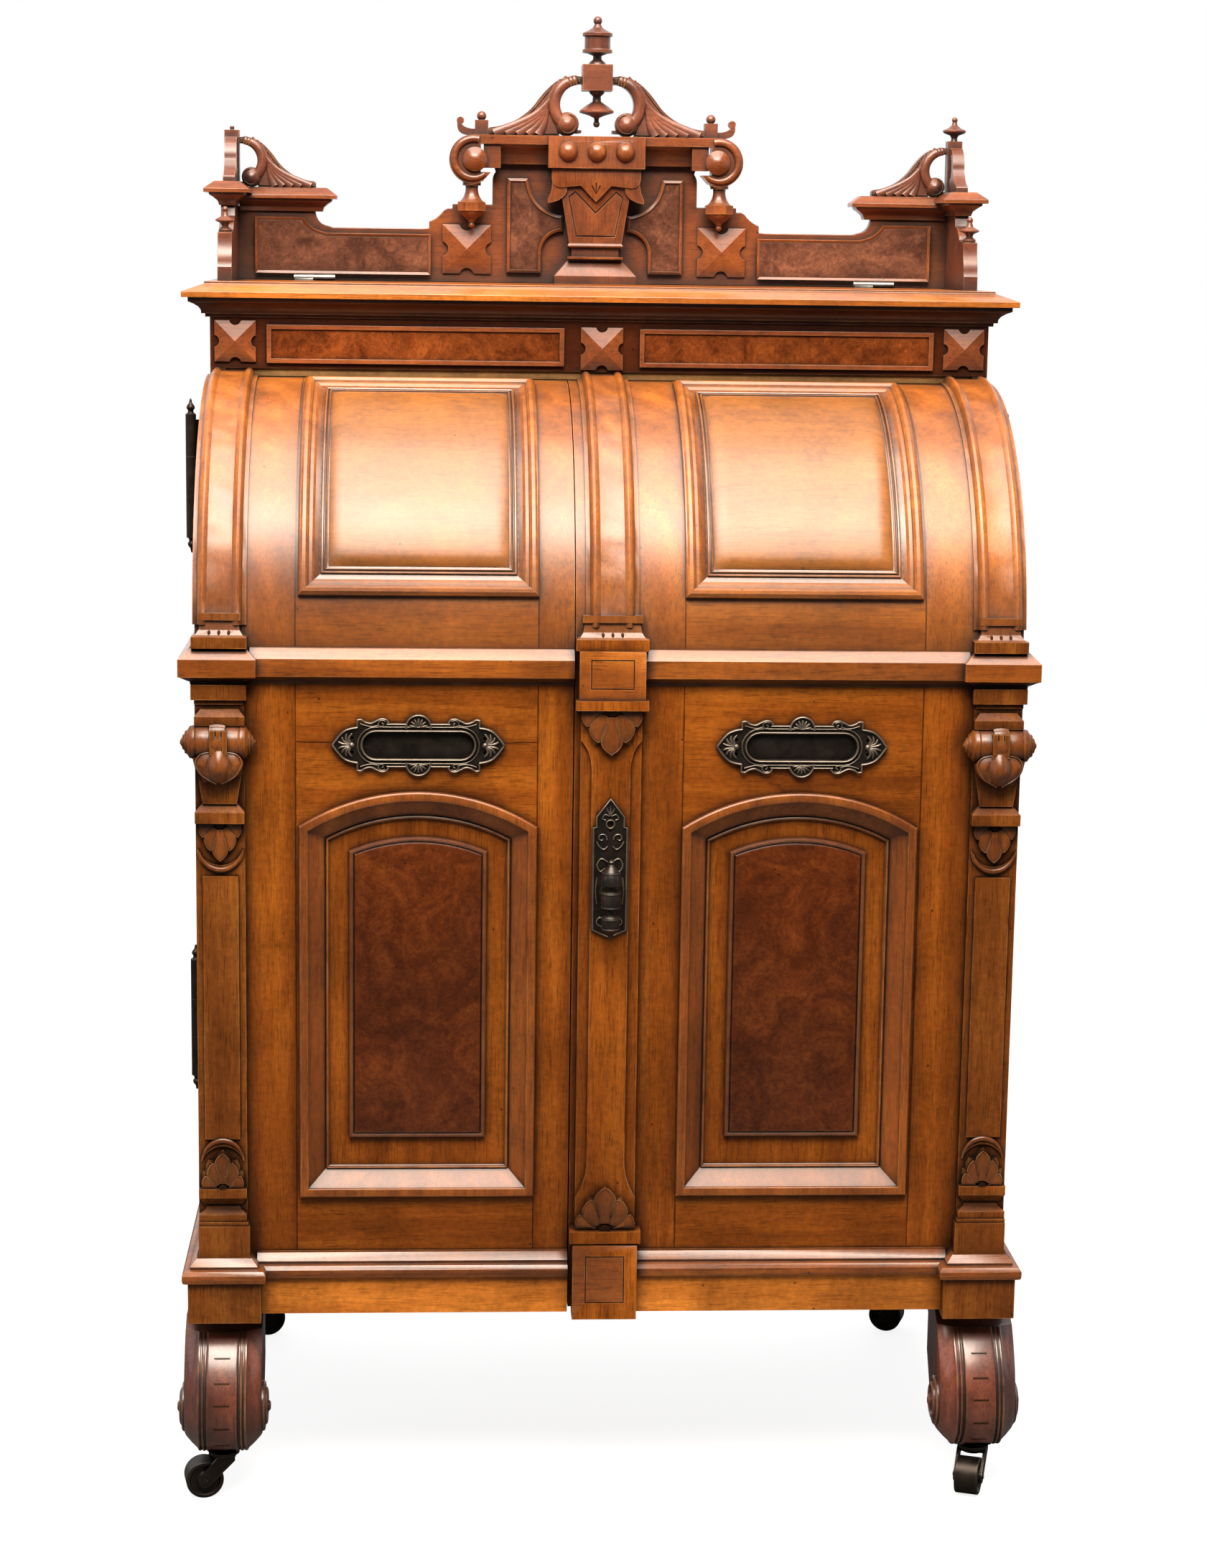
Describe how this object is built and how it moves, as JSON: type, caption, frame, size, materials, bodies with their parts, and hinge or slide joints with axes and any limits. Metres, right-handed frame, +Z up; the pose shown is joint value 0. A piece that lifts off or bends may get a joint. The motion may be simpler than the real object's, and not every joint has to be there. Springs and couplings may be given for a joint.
{
  "type": "cabinet desk",
  "caption": "Cabinet desk with quarter-round compartment doors, arched burl panels, carved pilasters, scrolled gallery and lift lid, on trestle feet with casters.",
  "frame": {"origin": "middle of the box's footprint on the floor", "axes": "+Z up, front of the doors towards -Y, +X to the viewer's right"},
  "size_m": [1.098, 0.68, 1.8935],
  "materials": {
    "walnut": "satin shellac",
    "walnut_dark": "satin shellac",
    "burl": "polished burl",
    "iron": "dark bronzed",
    "inner_wood": "satin",
    "leather": "worn",
    "box_cloth": "cloth"
  },
  "bodies": {
    "carcase": {"carcase_sides": "walnut", "carcase_back": "walnut_dark", "carcase_bottom": "inner_wood", "carcase_partitions": "inner_wood", "upper_pigeonholes": "inner_wood", "lower_pigeonholes": "inner_wood", "writing_flap": "walnut", "flap_leather": "leather", "frieze": "walnut", "burl_panels": "burl", "cornice": "walnut", "well_tray": "inner_wood", "gallery_deck": "walnut", "gallery_board": "walnut", "scroll_rail": "walnut", "pediment": "walnut", "finials": "walnut_dark", "urn_panel": "walnut", "corner_caps": "walnut", "corner_scrolls": "walnut", "side_returns": "walnut", "trestles": "walnut_dark", "case_mouldings": "walnut", "case_hinges": "iron", "caster_sockets": "iron"},
    "left_door": {"left_door_front": "walnut", "left_door_shell": "walnut", "left_door_box": "inner_wood", "left_door_shelves": "inner_wood", "left_door_panels": "burl", "left_door_trim": "walnut", "left_door_hardware": "iron", "letter_plate": "iron"},
    "right_door": {"right_door_front": "walnut", "right_door_shell": "walnut", "right_door_box": "inner_wood", "file_boxes": "box_cloth", "right_door_panels": "burl", "right_door_trim": "walnut", "centre_pilaster": "walnut", "right_door_hinges": "iron", "name_plate": "iron", "escutcheon": "iron", "lock_case": "iron"},
    "lid": {"lid": "walnut"},
    "letter_flap": {"letter_flap": "iron"},
    "door_handle": {"door_handle": "iron"},
    "latch_bolt": {"latch_bolt": "iron"},
    "drawer_left_upper": {"drawer_left_upper": "inner_wood"},
    "drawer_left_lower": {"drawer_left_lower": "inner_wood"},
    "drawer_right_upper": {"drawer_right_upper": "inner_wood"},
    "drawer_right_lower": {"drawer_right_lower": "inner_wood"},
    "fork_front_left": {"fork_front_left": "iron"},
    "fork_front_right": {"fork_front_right": "iron"},
    "fork_rear_left": {"fork_rear_left": "iron"},
    "fork_rear_right": {"fork_rear_right": "iron"},
    "wheel_front_left": {"wheel_front_left": "iron"},
    "wheel_front_right": {"wheel_front_right": "iron"},
    "wheel_rear_left": {"wheel_rear_left": "iron"},
    "wheel_rear_right": {"wheel_rear_right": "iron"}
  },
  "joints": [
    {"name": "left_door_hinge", "type": "hinge", "parent": "carcase", "child": "left_door", "pos_m": [-0.54, 0.0405, 0.7], "axis": [0, 0, -1], "range_deg": [0, 165]},
    {"name": "right_door_hinge", "type": "hinge", "parent": "carcase", "child": "right_door", "pos_m": [0.54, 0.0405, 0.7], "axis": [0, 0, 1], "range_deg": [0, 165]},
    {"name": "lid_hinge", "type": "hinge", "parent": "carcase", "child": "lid", "pos_m": [0, 0.2195, 1.5385], "axis": [-1, 0, 0], "range_deg": [0, 75]},
    {"name": "letter_flap_hinge", "type": "hinge", "parent": "left_door", "child": "letter_flap", "pos_m": [-0.239, -0.2735, 0.9925], "axis": [1, 0, 0], "range_deg": [0, 80], "stiffness_Nm_per_rad": 0.05},
    {"name": "handle_turn", "type": "hinge", "parent": "right_door", "child": "door_handle", "pos_m": [0, -0.324, 0.79], "axis": [0, 1, 0], "range_deg": [0, 90]},
    {"name": "latch_slide", "type": "slide", "parent": "right_door", "child": "latch_bolt", "axis": [-1, 0, 0], "range_m": [0, 0.0101]},
    {"name": "drawer_left_upper_slide", "type": "slide", "parent": "carcase", "child": "drawer_left_upper", "axis": [0, -1, 0], "range_m": [0, 0.24]},
    {"name": "drawer_left_lower_slide", "type": "slide", "parent": "carcase", "child": "drawer_left_lower", "axis": [0, -1, 0], "range_m": [0, 0.24]},
    {"name": "drawer_right_upper_slide", "type": "slide", "parent": "carcase", "child": "drawer_right_upper", "axis": [0, -1, 0], "range_m": [0, 0.24]},
    {"name": "drawer_right_lower_slide", "type": "slide", "parent": "carcase", "child": "drawer_right_lower", "axis": [0, -1, 0], "range_m": [0, 0.24]},
    {"name": "swivel_front_left", "type": "hinge", "parent": "carcase", "child": "fork_front_left", "pos_m": [-0.485, -0.288, 0.07], "axis": [0, 0, 1], "continuous": true},
    {"name": "roll_front_left", "type": "hinge", "parent": "fork_front_left", "child": "wheel_front_left", "pos_m": [-0.5106, -0.29252, 0.024], "axis": [0.1736, -0.9848, 0], "continuous": true},
    {"name": "swivel_front_right", "type": "hinge", "parent": "carcase", "child": "fork_front_right", "pos_m": [0.485, -0.288, 0.07], "axis": [0, 0, 1], "continuous": true},
    {"name": "roll_front_right", "type": "hinge", "parent": "fork_front_right", "child": "wheel_front_right", "pos_m": [0.47611, -0.31243, 0.024], "axis": [0.9397, -0.342, 0], "continuous": true},
    {"name": "swivel_rear_left", "type": "hinge", "parent": "carcase", "child": "fork_rear_left", "pos_m": [-0.485, 0.288, 0.07], "axis": [0, 0, 1], "continuous": true},
    {"name": "roll_rear_left", "type": "hinge", "parent": "fork_rear_left", "child": "wheel_rear_left", "pos_m": [-0.46057, 0.29689, 0.024], "axis": [-0.342, 0.9397, 0], "continuous": true},
    {"name": "swivel_rear_right", "type": "hinge", "parent": "carcase", "child": "fork_rear_right", "pos_m": [0.485, 0.288, 0.07], "axis": [0, 0, 1], "continuous": true},
    {"name": "roll_rear_right", "type": "hinge", "parent": "fork_rear_right", "child": "wheel_rear_right", "pos_m": [0.46057, 0.29689, 0.024], "axis": [-0.342, -0.9397, 0], "continuous": true}
  ],
  "couplings": [
    {"joint": "latch_slide", "follows": "handle_turn", "m_per_rad": 0.0063}
  ]
}
